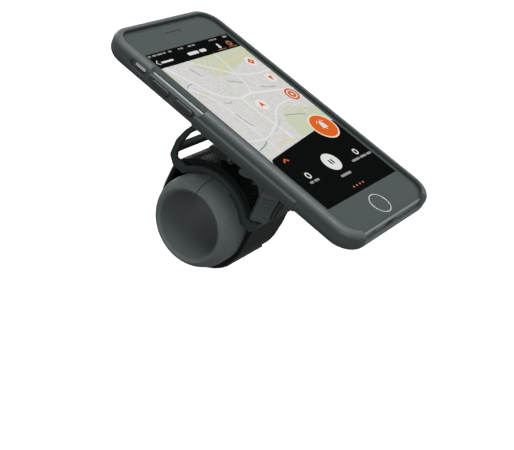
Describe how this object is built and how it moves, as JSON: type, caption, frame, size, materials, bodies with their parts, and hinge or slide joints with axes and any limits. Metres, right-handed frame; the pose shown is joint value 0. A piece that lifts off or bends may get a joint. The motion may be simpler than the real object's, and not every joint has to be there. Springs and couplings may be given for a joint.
{
  "type": "phone mount",
  "caption": "Handlebar phone mount: a strapped bracket with a rubber bar sleeve, a twist-lock head with a thumb release, and a fitted phone case holding a phone.",
  "frame": {"origin": "on the handlebar's axis, in the middle of the rubber sleeve's length, under the middle of the phone", "axes": "+X along the bar to the rider's right, +Y towards the top of the phone, +Z square to the phone's glass and away from the bar"},
  "size_m": [0.0724, 0.1424, 0.0822],
  "materials": {
    "bracket_plastic": "moulded glass-filled nylon, fine satin texture",
    "sleeve_rubber": "soft matt rubber",
    "pad_rubber": "soft matt rubber",
    "strap_plastic": "toothed nylon strap, satin",
    "steel": "stainless steel",
    "head_plastic": "moulded nylon, satin",
    "lever_plastic": "moulded nylon, satin",
    "case_rubber": "soft-touch elastomer, satin",
    "lining_fabric": "microfibre",
    "phone_aluminium": "bead-blasted anodised aluminium",
    "front_glass": "opaque coated cover glass",
    "display": "lit display under glass",
    "home_metal": "polished ring",
    "dark_mesh": "fine acoustic mesh",
    "lens_glass": "coated lens"
  },
  "bodies": {
    "bracket": {"bracket_body": "bracket_plastic", "bar_sleeve": "sleeve_rubber", "saddle_pad_front": "pad_rubber", "saddle_pad_rear": "pad_rubber", "strap": "strap_plastic", "strap_anchor_pin": "steel", "pawl_pin": "steel", "pawl_spring": "steel", "twist_head": "head_plastic", "head_screws": "steel", "lever_pin": "steel", "lever_spring": "steel"},
    "pawl": {"strap_pawl": "head_plastic"},
    "lever": {"release_lever": "lever_plastic"},
    "case": {"case_shell": "case_rubber", "case_lining": "lining_fabric", "lock_ring": "head_plastic", "ring_screws": "steel", "phone_housing": "phone_aluminium", "phone_glass": "front_glass", "phone_display": "display", "home_ring": "home_metal", "earpiece_grille": "dark_mesh", "charging_port": "dark_mesh", "camera_ring": "home_metal", "camera_lens": "lens_glass", "camera_flash": "lens_glass"},
    "pad_volume_up": {"volume_up_pad": "case_rubber"},
    "pad_volume_down": {"volume_down_pad": "case_rubber"},
    "pad_power": {"power_pad": "case_rubber"},
    "key_volume_up": {"phone_volume_up": "phone_aluminium"},
    "key_volume_down": {"phone_volume_down": "phone_aluminium"},
    "key_power": {"phone_power": "phone_aluminium"},
    "key_home": {"home_button": "front_glass"},
    "key_mute": {"mute_switch": "phone_aluminium"}
  },
  "joints": [
    {"name": "case_twist", "type": "hinge", "parent": "bracket", "child": "case", "pos_m": [0, 0, 0.0425], "axis": [0, 0, 1], "range_deg": [0, 90]},
    {"name": "release_lever_hinge", "type": "hinge", "parent": "bracket", "child": "lever", "pos_m": [-0.01096, -0.01803, 0.0364], "axis": [-0.7071, 0.7071, 0], "range_deg": [0, 10], "stiffness_Nm_per_rad": 0.08, "springref_deg": -14.32},
    {"name": "strap_pawl_hinge", "type": "hinge", "parent": "bracket", "child": "pawl", "pos_m": [0, 0.0028, 0.0321], "axis": [1, 0, 0], "range_deg": [0, 12], "stiffness_Nm_per_rad": 0.03, "springref_deg": -17.19},
    {"name": "volume_up_pad_press", "type": "slide", "parent": "case", "child": "pad_volume_up", "axis": [1, 0, 0], "range_m": [0, 0.0004], "stiffness_N_per_m": 800, "springref_m": -0.0003},
    {"name": "volume_down_pad_press", "type": "slide", "parent": "case", "child": "pad_volume_down", "axis": [1, 0, 0], "range_m": [0, 0.0004], "stiffness_N_per_m": 800, "springref_m": -0.0003},
    {"name": "power_pad_press", "type": "slide", "parent": "case", "child": "pad_power", "axis": [-1, 0, 0], "range_m": [0, 0.0004], "stiffness_N_per_m": 800, "springref_m": -0.0003},
    {"name": "volume_up_key_press", "type": "slide", "parent": "case", "child": "key_volume_up", "axis": [1, 0, 0], "range_m": [0, 0.0004], "stiffness_N_per_m": 400, "springref_m": -0.0003},
    {"name": "volume_down_key_press", "type": "slide", "parent": "case", "child": "key_volume_down", "axis": [1, 0, 0], "range_m": [0, 0.0004], "stiffness_N_per_m": 400, "springref_m": -0.0003},
    {"name": "power_key_press", "type": "slide", "parent": "case", "child": "key_power", "axis": [-1, 0, 0], "range_m": [0, 0.0004], "stiffness_N_per_m": 400, "springref_m": -0.0003},
    {"name": "home_key_press", "type": "slide", "parent": "case", "child": "key_home", "axis": [0, 0, -1], "range_m": [0, 0.0003], "stiffness_N_per_m": 600, "springref_m": -0.0003},
    {"name": "mute_switch_slide", "type": "slide", "parent": "case", "child": "key_mute", "axis": [0, 0, -1], "range_m": [0, 0.0008]}
  ],
  "couplings": [
    {"joint": "volume_up_key_press", "follows": "volume_up_pad_press", "ratio": 1},
    {"joint": "volume_down_key_press", "follows": "volume_down_pad_press", "ratio": 1},
    {"joint": "power_key_press", "follows": "power_pad_press", "ratio": 1}
  ]
}
